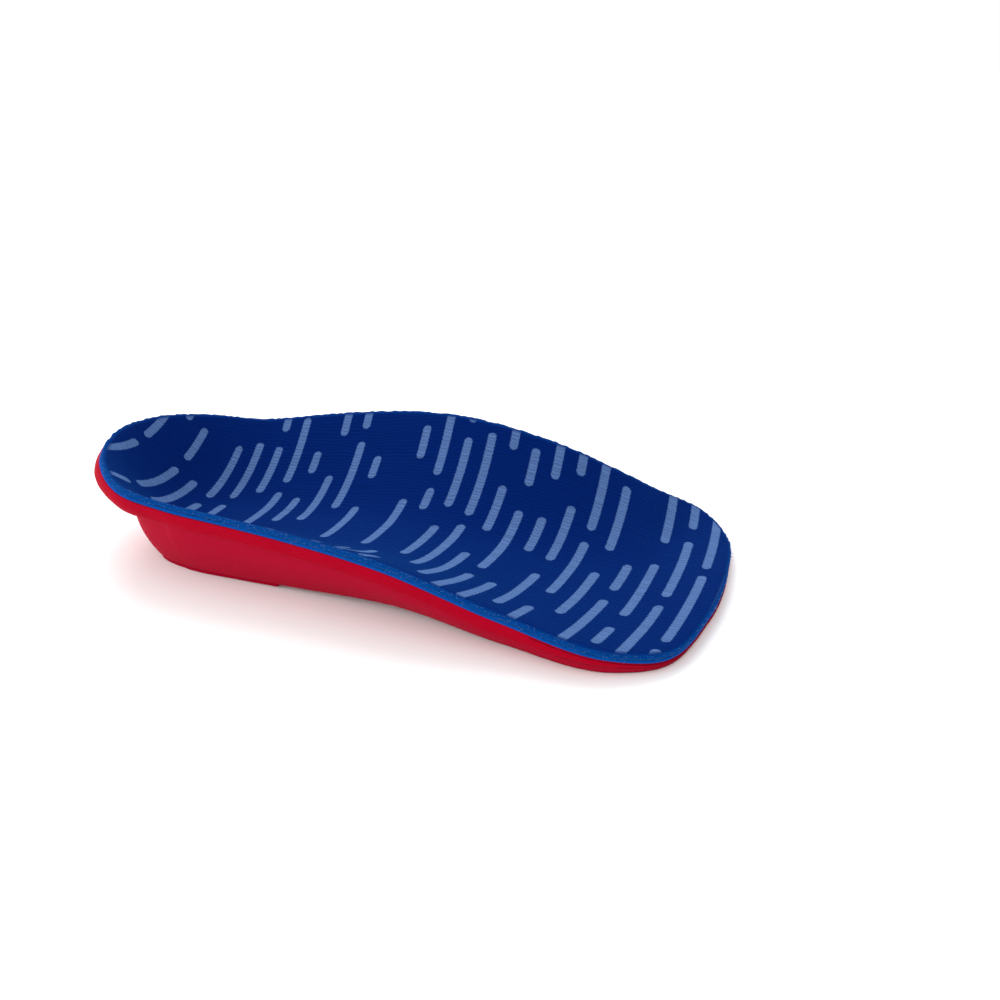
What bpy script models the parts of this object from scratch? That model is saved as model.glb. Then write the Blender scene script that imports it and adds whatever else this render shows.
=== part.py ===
"""Three-quarter length cushioned insole for a right foot.

The insole is a bonded laminate of four pieces: a printed knit cover, a sheet of cushion foam, a
moulded shell with a deep heel cup and a raised arch flange, and the pad under the heel.

Lengths are worked out in millimetres and turned into metres as each mesh is filled. X runs from the
heel to the toes, Y to the medial side, where the arch is, and Z up. The insole stands on Z = 0.
"""
import math
from collections import namedtuple

import bmesh
import bpy
import numpy as np
from mathutils import Vector

MM = 0.001

# ------------------------------------------------------------------ driving sizes, in millimetres

LENGTH = 170.0              # cover, from the back of the heel to the front edge
FOREFOOT_WIDTH = 76.0       # cover, at its widest
FOREFOOT_SETBACK = 24.0     # from the widest line to the front edge
FOREFOOT_LEAN = 2.3         # the medial side is this much narrower at the widest line
HEEL_WIDTH = 57.0           # cover, across the heel cup
HEEL_CUP_X = 30.0           # from the back of the heel to the middle of the cup
HEEL_AXIS = 2.0             # the heel's middle line lies this far to the medial side

HEEL_BACK_RIM = 29.0        # heights of the cover's rim above the ground
HEEL_SIDE_RIM = 23.7
ARCH_RIM = 30.8
TOE_RIM = 3.8
BALL_LATERAL_RIM = 6.3
BALL_MEDIAL_RIM = 13.0

HEEL_BED = 8.5              # heights of the cover along the valley of the footbed
ARCH_BED = 11.0
BALL_BED = 4.5
MEDIAL_BOWL = 2.0           # power of the footbed's rise: the higher, the flatter its middle
HEEL_BOWL = 3.6             # the same on the lateral side, at the heel and at the ball of the foot
BALL_BOWL = 2.3
RIM_STEEPNESS = 1.5         # steepness at the rim, as a multiple of the mean rise

ARCH_UNDER = 11.8           # height of the underside's medial edge, under the arch
ARCH_TUCK = 14.0            # how far that edge is tucked in from the rim

COVER_THICKNESS = 0.6
FOAM_THICKNESS = 1.6
GLUE_GAP = 0.3              # between each two bonded faces

EDGE_BAND = 4.3             # height of the upright band along the shell's top edge
EDGE_LEAN = 0.7             # how far that band leans in towards its foot
EDGE_LEDGE = 1.1            # step in from the foot of the band to the lower side
HEEL_BAND = 8.6             # the same band and step at the back of the heel
HEEL_LEDGE = 8.6
HEEL_BULGE = 2.0            # how far the band swells outwards there
BAND_SHARE = 0.45           # most of the shell's edge that the band takes where the edge is thin
LEDGE_SLOPE = 0.3           # fall of the step for each length inwards
HEEL_LEDGE_SLOPE = 0.55
LEDGE_SPREAD = 0.7          # the lower, the further the heel's step reaches round to the sides
SIDE_HOLLOW = 1.6           # power of the lower side's curve inwards: the higher, the lower it turns in
HEEL_HOLLOW = 3.2

POST_THICKNESS = 1.2        # pad under the heel
POST_LATERAL_LENGTH = 57.0  # from the back of the heel to the pad's front end, on each side
POST_MEDIAL_LENGTH = 44.0
POST_MARGIN = 0.4           # pad's outline inside the flat under the shell
POST_EDGE_ROUND = 0.35
POST_FRONT_BOW = 3.0        # how far the pull of the pad's front edge reaches forwards
FLAT_PAST_LATERAL = 4.0     # the flat under the shell runs on past the pad's ends
FLAT_PAST_MEDIAL = 2.0

# ------------------------------------------------------------------ lines of the insole

PAD_TOP = POST_THICKNESS + GLUE_GAP
FLAT_MEDIAL_X = POST_MEDIAL_LENGTH + FLAT_PAST_MEDIAL
FLAT_END_X = POST_LATERAL_LENGTH + FLAT_PAST_LATERAL
BALL_X = LENGTH - FOREFOOT_SETBACK
HEEL_HALF = HEEL_WIDTH / 2
HEEL_LATERAL = HEEL_HALF - HEEL_AXIS
HEEL_MEDIAL = HEEL_HALF + HEEL_AXIS
BALL_HALF = FOREFOOT_WIDTH / 2
BALL_MEDIAL = BALL_HALF - FOREFOOT_LEAN


def between(start, end, share):
    return start + (end - start) * share


# One row for each place along the foot: distance from the back of the heel, distance of the cover's
# rim from the middle line on the lateral and the medial side, height of the rim on each side, how far
# the underside's edge is tucked in from the rim on each side, its height on each side, and last the
# valley of the footbed: its place across the foot, its height, and the underside's height below it.
# What lies between two named sizes is given by its share of the way from one to the other.
Station = namedtuple(
    "Station",
    "x lateral medial lateral_rim medial_rim lateral_tuck medial_tuck lateral_under medial_under"
    " valley bed under",
)
HEEL_STATION = Station(
    HEEL_CUP_X, HEEL_LATERAL, HEEL_MEDIAL, HEEL_SIDE_RIM, HEEL_SIDE_RIM,
    6.2, 6.2, PAD_TOP, PAD_TOP, HEEL_AXIS, HEEL_BED, PAD_TOP,
)
FLAT_STATION = Station(
    FLAT_MEDIAL_X,
    between(HEEL_LATERAL, BALL_HALF, 0.13), between(HEEL_MEDIAL, BALL_MEDIAL, 0.25),
    between(HEEL_SIDE_RIM, BALL_LATERAL_RIM, 0.06), between(HEEL_SIDE_RIM, ARCH_RIM, 0.32),
    6.0, 8.0, PAD_TOP, PAD_TOP, 1.4, between(HEEL_BED, ARCH_BED, 0.12), PAD_TOP,
)
FLAT_END_STATION = Station(
    FLAT_END_X,
    between(HEEL_LATERAL, BALL_HALF, 0.25), between(HEEL_MEDIAL, BALL_MEDIAL, 0.37),
    between(HEEL_SIDE_RIM, BALL_LATERAL_RIM, 0.12), between(HEEL_SIDE_RIM, ARCH_RIM, 0.66),
    6.4, 11.5, PAD_TOP, between(PAD_TOP, ARCH_UNDER, 0.63),
    0.0, between(HEEL_BED, ARCH_BED, 0.44), PAD_TOP,
)
ARCH_STATION = Station(
    between(FLAT_END_X, BALL_X, 0.365),
    between(HEEL_LATERAL, BALL_HALF, 0.6), between(HEEL_MEDIAL, BALL_MEDIAL, 0.08),
    between(HEEL_SIDE_RIM, BALL_LATERAL_RIM, 0.3), ARCH_RIM,
    7.0, ARCH_TUCK, 2.4, ARCH_UNDER, -3.5, ARCH_BED, 3.4,
)
ARCH_END_STATION = Station(
    between(FLAT_END_X, BALL_X, 0.694),
    between(HEEL_LATERAL, BALL_HALF, 0.86), between(HEEL_MEDIAL, BALL_MEDIAL, 0.06),
    between(HEEL_SIDE_RIM, BALL_LATERAL_RIM, 0.71), between(ARCH_RIM, BALL_MEDIAL_RIM, 0.3),
    4.0, between(ARCH_TUCK, 0, 0.21), 0.4, between(ARCH_UNDER, 0, 0.22),
    -3.5, between(ARCH_BED, BALL_BED, 0.52), 1.4,
)
BALL_STATION = Station(
    BALL_X, BALL_HALF, BALL_MEDIAL, BALL_LATERAL_RIM, BALL_MEDIAL_RIM,
    1.4, 3.0, 0.0, 3.4, -1.0, BALL_BED, 0.0,
)
STATIONS = (HEEL_STATION, FLAT_STATION, FLAT_END_STATION, ARCH_STATION, ARCH_END_STATION, BALL_STATION)

# The front edge from the lateral to the medial corner: distance back from the front, share of the
# forefoot's half width across, and height of the rim.
ToeEdge = namedtuple("ToeEdge", "back across rim")
TOE_EDGES = (
    ToeEdge(13.0, -0.87, TOE_RIM + 0.6),
    ToeEdge(3.4, -0.32, TOE_RIM),
    ToeEdge(0.1, 0.30, TOE_RIM),
    ToeEdge(1.1, 0.72, TOE_RIM),
    ToeEdge(8.1, 0.99, TOE_RIM + 1.8),
)
TOE_TUCK = 0.8
HEEL_BACK_TUCK = 12.6

HEEL_ANGLES = (60, 30, 0, -30, -60)     # degrees round the back of the heel, medial to lateral

# ------------------------------------------------------------------ fineness of the meshes

SAMPLES_PER_SPAN = 24
SIDE_RAYS = 22
TOE_RAYS = 20
HEEL_RAYS = 16
BED_RINGS = 9
RING_CROWDING = 1.25        # above 1 the footbed's rings lie closer together towards the rim
SIDE_RINGS = 5
UNDER_RINGS = 5
POST_SIDE_POINTS = 8
POST_FRONT_POINTS = 8
POST_EDGE_STEPS = 2

SHARP_ANGLE = math.radians(40)
CORNER_ANGLE = math.radians(60)
WELD_DISTANCE = 0.00001

Ray = namedtuple("Ray", "spine x y rim tuck under back")
Spine = namedtuple("Spine", "x y bed under")


def smooth_through(rows, closed):
    """Points on a smooth curve through the rows; the first two columns set its pace."""
    rows = np.array(rows, dtype=float)
    count = len(rows)
    last = count if closed else count - 1
    steps = [np.linalg.norm(rows[(i + 1) % count, :2] - rows[i, :2]) for i in range(last)]

    def slope(i):
        if not closed and i == 0:
            return (rows[1] - rows[0]) / steps[0]
        if not closed and i == count - 1:
            return (rows[-1] - rows[-2]) / steps[-1]
        before = steps[i - 1]
        after = steps[i % count]
        rise_before = (rows[i % count] - rows[i - 1]) / before
        rise_after = (rows[(i + 1) % count] - rows[i % count]) / after
        return (rise_before * after + rise_after * before) / (before + after)

    curve = []
    for i in range(last):
        start, end = rows[i], rows[(i + 1) % count]
        leave, arrive = slope(i) * steps[i], slope((i + 1) % count) * steps[i]
        for t in np.linspace(0.0, 1.0, SAMPLES_PER_SPAN, endpoint=False):
            curve.append(
                start * (1 + 2 * t) * (1 - t) ** 2 + end * t * t * (3 - 2 * t)
                + leave * t * (1 - t) ** 2 - arrive * t * t * (1 - t)
            )
    if not closed:
        curve.append(rows[-1])
    return np.array(curve)


def rim_ring():
    """The cover's rim, split into its four stretches: lateral side, front, medial side and heel.

    Each row is a place on the rim and its height, the tuck and the height of the underside's edge,
    and how much of the heel's back shape the edge band has there, from 0 to 1.
    """
    rows = [(s.x, -s.lateral, s.lateral_rim, s.lateral_tuck, s.lateral_under, 0) for s in STATIONS]
    rows += [(LENGTH - t.back, t.across * BALL_HALF, t.rim, TOE_TUCK, 0.0, 0) for t in TOE_EDGES]
    rows += [(s.x, s.medial, s.medial_rim, s.medial_tuck, s.medial_under, 0) for s in STATIONS[::-1]]
    for degrees in HEEL_ANGLES:
        angle = math.radians(degrees)
        back = math.cos(angle)
        rim = between(HEEL_SIDE_RIM, HEEL_BACK_RIM, back ** 2)
        across = HEEL_AXIS + HEEL_HALF * math.sin(angle)
        tuck = between(HEEL_STATION.medial_tuck, HEEL_BACK_TUCK, back ** 2)
        rows.append((HEEL_CUP_X * (1 - back), across, rim, tuck, PAD_TOP, back ** 2))
    ring = smooth_through(rows, closed=True)
    side = (len(STATIONS) - 1) * SAMPLES_PER_SPAN
    toe = (len(TOE_EDGES) + 1) * SAMPLES_PER_SPAN
    lateral = ring[:side + 1]
    front = ring[side:side + toe + 1]
    medial = ring[side + toe:2 * side + toe + 1]
    heel = np.vstack([ring[2 * side + toe:], ring[:1]])
    return lateral, front, medial[::-1], heel


def at_x(side, x):
    """The row of a side stretch at distance x from the heel."""
    return np.array([np.interp(x, side[:, 0], side[:, column]) for column in range(side.shape[1])])


def even_rows(stretch, count):
    """Rows spaced evenly along a stretch, both ends included."""
    steps = np.linalg.norm(np.diff(stretch[:, :2], axis=0), axis=1)
    run = np.concatenate([[0.0], np.cumsum(steps)])
    places = np.linspace(0.0, run[-1], count)
    return np.array([np.interp(places, run, column) for column in stretch.T]).T


def lowest_under(x):
    """The underside is flat over the pad, and meets the ground further on."""
    return PAD_TOP if x <= FLAT_END_X else 0.0


def valley(xs):
    """Spine points of the footbed at the distances xs from the heel."""
    line = smooth_through([(s.x, s.valley, s.bed, s.under) for s in STATIONS], closed=False)
    points = [Spine(*at_x(line, x)) for x in xs]
    return [point._replace(under=max(point.under, lowest_under(point.x))) for point in points]


def make_rays():
    """The spine's points, and the rays from it to the rim: lateral side, toe, medial side, heel."""
    lateral, front, medial, heel = rim_ring()
    xs = np.linspace(HEEL_CUP_X, BALL_X, SIDE_RAYS)
    last = SIDE_RAYS - 1
    rays = [Ray(i, *at_x(lateral, x)) for i, x in enumerate(xs)]
    rays += [Ray(last, *row) for row in even_rows(front, TOE_RAYS + 1)[1:-1]]
    rays += [Ray(last - i, *at_x(medial, x)) for i, x in enumerate(xs[::-1])]
    rays += [Ray(0, *row) for row in even_rows(heel, HEEL_RAYS + 1)[1:-1]]
    kept = [
        ray._replace(under=max(ray.under, lowest_under(ray.x)), back=max(ray.back, 0.0))
        for ray in rays
    ]
    return valley(xs), kept


SPINE, RAYS = make_rays()


def inward(ray):
    """Unit vector in plan from the rim to the spine."""
    middle = SPINE[ray.spine]
    return Vector((middle.x - ray.x, middle.y - ray.y, 0.0)).normalized()


def bowl_power(ray):
    """Power of the footbed's rise on a ray."""
    forward = min(max((ray.x - HEEL_CUP_X) / (BALL_X - HEEL_CUP_X), 0.0), 1.0)
    lateral = (1 + inward(ray).y) / 2
    return between(MEDIAL_BOWL, between(HEEL_BOWL, BALL_BOWL, forward), lateral)


def dish(reach, power):
    """Share of the rim's rise at a share of the way out: a bowl that eases at the rim."""
    ease = 1 - RIM_STEEPNESS / power
    return (1 + ease) * reach ** power - ease * reach ** (2 * power)


def under_edge(ray):
    """Edge of the flat underside on a ray."""
    return Vector((ray.x, ray.y, ray.under)) + inward(ray) * ray.tuck


# ------------------------------------------------------------------ mesh helpers

def bridge(bm, outer, inner):
    """Quads between two closed rings of the same count, facing up when outer is the wider one."""
    count = len(outer)
    for i in range(count):
        j = (i + 1) % count
        bm.faces.new((inner[i], outer[i], outer[j], inner[j]))


def close_on_spine(bm, ring, spine, facing_up):
    """Faces between the innermost ring and the spine."""
    count = len(ring)
    for i in range(count):
        j = (i + 1) % count
        start, end = spine[RAYS[i].spine], spine[RAYS[j].spine]
        corners = [start, ring[i], ring[j]]
        if end is not start:
            corners.append(end)
        bm.faces.new(corners if facing_up else corners[::-1])


def add_footbed(bm, depth):
    """Adds the footbed's surface, sunk by depth along its own normals, and returns its outer ring."""
    spine = [bm.verts.new((s.x, s.y, s.bed)) for s in SPINE]
    rings = []
    powers = [bowl_power(ray) for ray in RAYS]
    for step in range(1, BED_RINGS + 1):
        reach = 1 - (1 - step / BED_RINGS) ** RING_CROWDING
        ring = []
        for ray, power in zip(RAYS, powers):
            middle = SPINE[ray.spine]
            x = between(middle.x, ray.x, reach)
            y = between(middle.y, ray.y, reach)
            z = between(middle.bed, ray.rim, dish(reach, power))
            ring.append(bm.verts.new((x, y, z)))
        rings.append(ring)
    close_on_spine(bm, rings[0], spine, facing_up=True)
    for inner, outer in zip(rings, rings[1:]):
        bridge(bm, outer, inner)
    bm.normal_update()
    sunk = {vertex: vertex.co - vertex.normal * depth for vertex in bm.verts}
    for vertex, place in sunk.items():
        vertex.co = place
    return rings[-1]


def finish_mesh(bm, name):
    """Turns a bmesh in millimetres into a smooth mesh in metres."""
    bmesh.ops.scale(bm, vec=(MM, MM, MM), verts=bm.verts)
    mesh = bpy.data.meshes.new(name)
    bm.to_mesh(mesh)
    bm.free()
    mesh.shade_smooth()
    mesh.set_sharp_from_angle(angle=SHARP_ANGLE)
    return mesh


def make_material(name, colour, roughness):
    material = bpy.data.materials.new(name)
    material.use_nodes = True
    shader = material.node_tree.nodes["Principled BSDF"]
    shader.inputs["Base Color"].default_value = (*colour, 1.0)
    shader.inputs["Roughness"].default_value = roughness
    shader.inputs["Metallic"].default_value = 0.0
    return material


def add_object(name, data, material, collection, parent):
    piece = bpy.data.objects.new(name, data)
    piece.data.materials.append(material)
    piece.parent = parent
    collection.objects.link(piece)
    return piece


# ------------------------------------------------------------------ the four pieces

def make_sheet(name, depth, thickness, material, collection, parent):
    """A sheet of the laminate: the footbed's surface at a depth, thickened downwards."""
    bm = bmesh.new()
    add_footbed(bm, depth)
    sheet = add_object(name, finish_mesh(bm, name), material, collection, parent)
    solid = sheet.modifiers.new("thickness", "SOLIDIFY")
    solid.thickness = thickness * MM
    solid.offset = -1.0
    solid.use_even_offset = True
    return sheet


def side_profile(ray, top):
    """Points down the shell's side on a ray: edge band, ledge, lower side, edge of the underside."""
    towards = inward(ray)
    foot = under_edge(ray)
    band = between(EDGE_BAND, HEEL_BAND, ray.back)
    ledge_width = between(EDGE_LEDGE, HEEL_LEDGE, ray.back ** LEDGE_SPREAD)
    ledge_slope = between(LEDGE_SLOPE, HEEL_LEDGE_SLOPE, ray.back ** LEDGE_SPREAD)
    hollow = between(SIDE_HOLLOW, HEEL_HOLLOW, ray.back)
    fade = min(1.0, BAND_SHARE * (top.z - ray.under) / band)
    swell = top - towards * HEEL_BULGE * ray.back
    swell.z -= band * fade / 2
    band_foot = top + towards * EDGE_LEAN * fade
    band_foot.z -= band * fade
    ledge = band_foot + towards * ledge_width * fade
    ledge.z -= ledge_slope * ledge_width * fade
    points = [swell, band_foot, ledge]
    for step in range(1, SIDE_RINGS + 1):
        down = step / SIDE_RINGS
        place = ledge.lerp(foot, down ** hollow)
        place.z = between(ledge.z, foot.z, down)
        points.append(place)
    return points


def make_shell(depth, material, collection, parent):
    """The moulded shell: footbed side, upright edge band, tucked-in lower side and underside."""
    bm = bmesh.new()
    edge = add_footbed(bm, depth)
    levels = [[] for _ in range(SIDE_RINGS + 3)]
    for ray, vertex in zip(RAYS, edge):
        for level, place in zip(levels, side_profile(ray, vertex.co)):
            level.append(bm.verts.new(place))
    above = edge
    for level in levels:
        bridge(bm, level, above)
        above = level
    spine = [bm.verts.new((s.x, s.y, s.under)) for s in SPINE]
    for step in range(UNDER_RINGS - 1, 0, -1):
        reach = step / UNDER_RINGS
        ring = []
        for ray in RAYS:
            middle = Vector((SPINE[ray.spine].x, SPINE[ray.spine].y, SPINE[ray.spine].under))
            place = middle.lerp(under_edge(ray), reach)
            place.z = between(middle.z, ray.under, reach ** 2)
            ring.append(bm.verts.new(place))
        bridge(bm, ring, above)
        above = ring
    close_on_spine(bm, above, spine, facing_up=False)
    return add_object("base_shell", finish_mesh(bm, "base_shell"), material, collection, parent)


def post_edge(row, x):
    """Where the pad's edge lies below a row of the rim, seen from the valley at distance x."""
    middle = valley([x])[0]
    rim = Vector(row[:2])
    towards = (Vector((middle.x, middle.y)) - rim).normalized()
    return rim + towards * (row[3] + POST_MARGIN)


def post_outline():
    """Outline of the pad: the flat under the heel, closed by a bowed front edge."""
    lateral, _, medial, heel = rim_ring()
    medial_xs = np.linspace(POST_MEDIAL_LENGTH, HEEL_CUP_X, POST_SIDE_POINTS)
    lateral_xs = np.linspace(HEEL_CUP_X, POST_LATERAL_LENGTH, POST_SIDE_POINTS)
    outline = [post_edge(at_x(medial, x), x) for x in medial_xs]
    outline += [post_edge(row, HEEL_CUP_X) for row in even_rows(heel, HEEL_RAYS + 1)[1:-1]]
    outline += [post_edge(at_x(lateral, x), x) for x in lateral_xs]
    start, end = outline[-1], outline[0]
    bow = (start + end) / 2 + Vector((POST_FRONT_BOW, 0.0))
    for step in range(1, POST_FRONT_POINTS):
        t = step / POST_FRONT_POINTS
        outline.append(start * (1 - t) ** 2 + bow * 2 * t * (1 - t) + end * t ** 2)
    return outline


def make_post(material, collection, parent):
    """The pad under the heel, a flat outline with a softened edge."""
    curve = bpy.data.curves.new("heel_post", "CURVE")
    curve.dimensions = "2D"
    curve.fill_mode = "BOTH"
    curve.extrude = POST_THICKNESS / 2 * MM
    outline = post_outline()
    spline = curve.splines.new("POLY")
    spline.points.add(len(outline) - 1)
    for point, place in zip(spline.points, outline):
        point.co = (place.x * MM, place.y * MM, 0.0, 1.0)
    spline.use_cyclic_u = True
    post = add_object("heel_post", curve, material, collection, parent)
    post.location.z = POST_THICKNESS / 2 * MM
    weld = post.modifiers.new("weld caps", "WELD")
    weld.merge_threshold = WELD_DISTANCE
    bevel = post.modifiers.new("softened edge", "BEVEL")
    bevel.width = POST_EDGE_ROUND * MM
    bevel.segments = POST_EDGE_STEPS
    bevel.limit_method = "ANGLE"
    bevel.angle_limit = CORNER_ANGLE
    return post


def build():
    for leftover in list(bpy.data.objects):
        bpy.data.objects.remove(leftover)
    collection = bpy.data.collections.new("cushioned_insole")
    bpy.context.scene.collection.children.link(collection)
    middle = bpy.data.objects.new("insole_middle", None)
    collection.objects.link(middle)

    knit = make_material("printed_knit", (0.004, 0.028, 0.21), 0.9)
    foam = make_material("blue_foam", (0.0, 0.09, 0.55), 0.75)
    shell = make_material("red_eva", (0.52, 0.004, 0.035), 0.55)
    pad = make_material("red_eva_pad", (0.46, 0.008, 0.04), 0.6)

    foam_depth = COVER_THICKNESS + GLUE_GAP
    shell_depth = foam_depth + FOAM_THICKNESS + GLUE_GAP
    make_sheet("top_cover", 0.0, COVER_THICKNESS, knit, collection, middle)
    make_sheet("cushion_foam", foam_depth, FOAM_THICKNESS, foam, collection, middle)
    base = make_shell(shell_depth, shell, collection, middle)
    make_post(pad, collection, middle)

    # The shell's edge is the widest and longest line, so its middle is the origin.
    corners = [Vector(corner) for corner in base.bound_box]
    middle.location.x = -(corners[0].x + corners[6].x) / 2
    middle.location.y = -(corners[0].y + corners[6].y) / 2
    bpy.context.view_layer.update()


build()
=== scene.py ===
"""Cushioned insole for a right foot: printed knit cover, cushion foam, moulded shell and heel pad.

The pieces are made by operators in an add-on's layout. Lengths are worked out in millimetres, with X
from the back of the heel to the toes, Y to the medial side and Z up, and each mesh is filled in metres
in the frame of the design.
"""
import math
from collections import namedtuple

import bpy
import numpy as np
from bpy.props import FloatProperty, FloatVectorProperty, IntProperty, PointerProperty
from mathutils import Matrix, Vector, noise


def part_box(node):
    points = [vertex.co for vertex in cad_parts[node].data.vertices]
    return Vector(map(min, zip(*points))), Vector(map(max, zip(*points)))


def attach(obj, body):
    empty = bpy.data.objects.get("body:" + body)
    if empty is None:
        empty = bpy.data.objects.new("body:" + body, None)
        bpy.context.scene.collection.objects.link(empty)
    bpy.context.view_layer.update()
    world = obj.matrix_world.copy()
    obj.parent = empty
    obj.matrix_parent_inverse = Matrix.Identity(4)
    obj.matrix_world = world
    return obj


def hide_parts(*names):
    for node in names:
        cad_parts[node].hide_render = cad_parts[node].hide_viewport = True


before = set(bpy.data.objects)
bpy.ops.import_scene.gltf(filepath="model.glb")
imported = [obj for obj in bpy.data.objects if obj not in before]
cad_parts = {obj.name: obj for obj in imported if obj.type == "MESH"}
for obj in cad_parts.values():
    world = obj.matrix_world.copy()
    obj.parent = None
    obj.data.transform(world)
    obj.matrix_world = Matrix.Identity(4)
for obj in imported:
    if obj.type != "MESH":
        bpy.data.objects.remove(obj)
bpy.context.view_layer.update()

ROOT = "root"

bl_info = {
    "name": "Cushioned insole",
    "version": (1, 0, 0),
    "blender": (4, 5, 0),
    "location": "3D View > Sidebar > Insole",
    "description": "Makes a three-quarter length insole from its knit, foam and moulded layers",
    "category": "Add Mesh",
}

MM = 0.001

# ------------------------------------------------------------------ sizes of the design, in millimetres

LENGTH = 170.0
FOREFOOT_WIDTH = 76.0
FOREFOOT_SETBACK = 24.0
FOREFOOT_LEAN = 2.3
HEEL_WIDTH = 57.0
HEEL_CUP_X = 30.0
HEEL_AXIS = 2.0

HEEL_BACK_RIM = 29.0
HEEL_SIDE_RIM = 23.7
ARCH_RIM = 30.8
TOE_RIM = 3.8
BALL_LATERAL_RIM = 6.3
BALL_MEDIAL_RIM = 13.0

HEEL_BED = 8.5
ARCH_BED = 11.0
BALL_BED = 4.5
MEDIAL_BOWL = 2.0           # power of the footbed's rise: the higher, the flatter its middle
HEEL_BOWL = 3.6             # the same for the lateral side, at the heel
BALL_BOWL = 2.3             # and at the ball of the foot
RIM_STEEPNESS = 1.5         # steepness at the rim, as a multiple of the mean rise

ARCH_UNDER = 11.8
ARCH_TUCK = 14.0

COVER_THICKNESS = 0.6
SHELL_DEPTH = 2.8           # from the cover's face down to the shell
BOND = 0.02                 # hairline between bonded faces

EDGE_BAND = 4.3             # height of the band along the shell's edge
EDGE_LEAN = 0.7             # how far the band leans in on its way down
EDGE_LEDGE = 1.1            # width of the ledge under the band
HEEL_BAND = 8.6             # the band's height at the back of the heel
HEEL_LEDGE = 8.6            # the ledge's width there
HEEL_BULGE = 2.6            # how far the band swells there
BAND_SHARE = 0.45           # share of the side's height that the band may take where the side is low
BAND_CROWN = 0.25           # swell of the band all round
LEDGE_SLOPE = 0.3           # fall of the ledge for its width
HEEL_LEDGE_SLOPE = 0.55
LEDGE_SPREAD = 0.7          # below 1, the ledge stays wide further round the heel
SIDE_HOLLOW = 1.6           # power of the lower side's curve inwards: the higher, the lower it turns in
HEEL_HOLLOW = 3.2
CREASE_RADIUS = 0.3
SHOULDER_RADIUS = 0.35

POST_THICKNESS = 1.2
POST_GAP = 0.3
POST_LATERAL_LENGTH = 57.0
POST_MEDIAL_LENGTH = 44.0
POST_MARGIN = 0.4
POST_FRONT_BOW = 3.0
FRONT_SOFTNESS = 4.0        # how much rounder the pad's edge is at its front
FLAT_PAST_LATERAL = 4.0
FLAT_PAST_MEDIAL = 2.0

ROLL_WIDTH = 1.3            # width of the strip along the rim where the laminate rolls over
ROLL_SLOPE = 0.9            # how much steeper the surface has become at the rim
COVER_WRAP = 1.15           # how far the cover's edge is drawn down over the foam's edge
PINCH = 0.9                 # how much thinner the foam is at the rim
PINCH_WIDTH = 6.0
WRAP_BULGE = 0.2
EDGE_BUMP = 0.28            # how far single loops of the knit stand out along the cut edge
RIPPLE = 0.12               # waviness of the bonded cloth
RIPPLE_PACE = 0.11          # waves to a millimetre
FOAM_BULGE = 0.08           # how far the foam's cut edge swells
FOAM_EDGE_SHARES = (0.0, 0.15, 0.35, 0.6, 0.85, 1.0)    # places of the rings down that edge

FIBRE_SIDES = 3
FIBRE_JOINTS = 4
FIBRE_LENGTH = 0.3          # shortest fibre
FIBRE_LONGER = 0.9          # how much longer the longest is
FIBRE_RADII = (0.03, 0.05)
FIBRE_TAPER = 0.7
FIBRE_ROOT = 0.05           # how deep a fibre starts in the cloth
FIBRE_CURL = 0.5
CURL_SPREAD = 0.6           # spread of the curl's two directions
RISE_SPREAD = 0.5           # mean and spread of a fibre's turn upwards
TURN_SPREAD = 0.8           # spread of its turn along the edge

# Inset and height of each ring round the pad's lower edge.
PAD_EDGE = ((0.0, 0.9), (0.05, 0.5), (0.15, 0.22), (0.32, 0.06), (0.6, 0.0))

PAD_TOP = POST_THICKNESS + POST_GAP
FLAT_MEDIAL_X = POST_MEDIAL_LENGTH + FLAT_PAST_MEDIAL
FLAT_END_X = POST_LATERAL_LENGTH + FLAT_PAST_LATERAL
BALL_X = LENGTH - FOREFOOT_SETBACK
HEEL_HALF = HEEL_WIDTH / 2
HEEL_LATERAL = HEEL_HALF - HEEL_AXIS
HEEL_MEDIAL = HEEL_HALF + HEEL_AXIS
BALL_HALF = FOREFOOT_WIDTH / 2
BALL_MEDIAL = BALL_HALF - FOREFOOT_LEAN


def between(start, end, share):
    return start + (end - start) * share


# Places along the foot: distance from the back of the heel, half widths and rim heights on the lateral
# and the medial side, the underside's tuck and height on each side, and the valley of the footbed with
# the heights of the footbed and of the underside there.
Station = namedtuple(
    "Station",
    "x lateral medial lateral_rim medial_rim lateral_tuck medial_tuck lateral_under medial_under"
    " valley bed under",
)
HEEL_STATION = Station(
    HEEL_CUP_X, HEEL_LATERAL, HEEL_MEDIAL, HEEL_SIDE_RIM, HEEL_SIDE_RIM,
    6.2, 6.2, PAD_TOP, PAD_TOP, HEEL_AXIS, HEEL_BED, PAD_TOP,
)
FLAT_STATION = Station(
    FLAT_MEDIAL_X,
    between(HEEL_LATERAL, BALL_HALF, 0.13), between(HEEL_MEDIAL, BALL_MEDIAL, 0.25),
    between(HEEL_SIDE_RIM, BALL_LATERAL_RIM, 0.06), between(HEEL_SIDE_RIM, ARCH_RIM, 0.32),
    6.0, 8.0, PAD_TOP, PAD_TOP, 1.4, between(HEEL_BED, ARCH_BED, 0.12), PAD_TOP,
)
FLAT_END_STATION = Station(
    FLAT_END_X,
    between(HEEL_LATERAL, BALL_HALF, 0.25), between(HEEL_MEDIAL, BALL_MEDIAL, 0.37),
    between(HEEL_SIDE_RIM, BALL_LATERAL_RIM, 0.12), between(HEEL_SIDE_RIM, ARCH_RIM, 0.66),
    6.4, 11.5, PAD_TOP, between(PAD_TOP, ARCH_UNDER, 0.63),
    0.0, between(HEEL_BED, ARCH_BED, 0.44), PAD_TOP,
)
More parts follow.
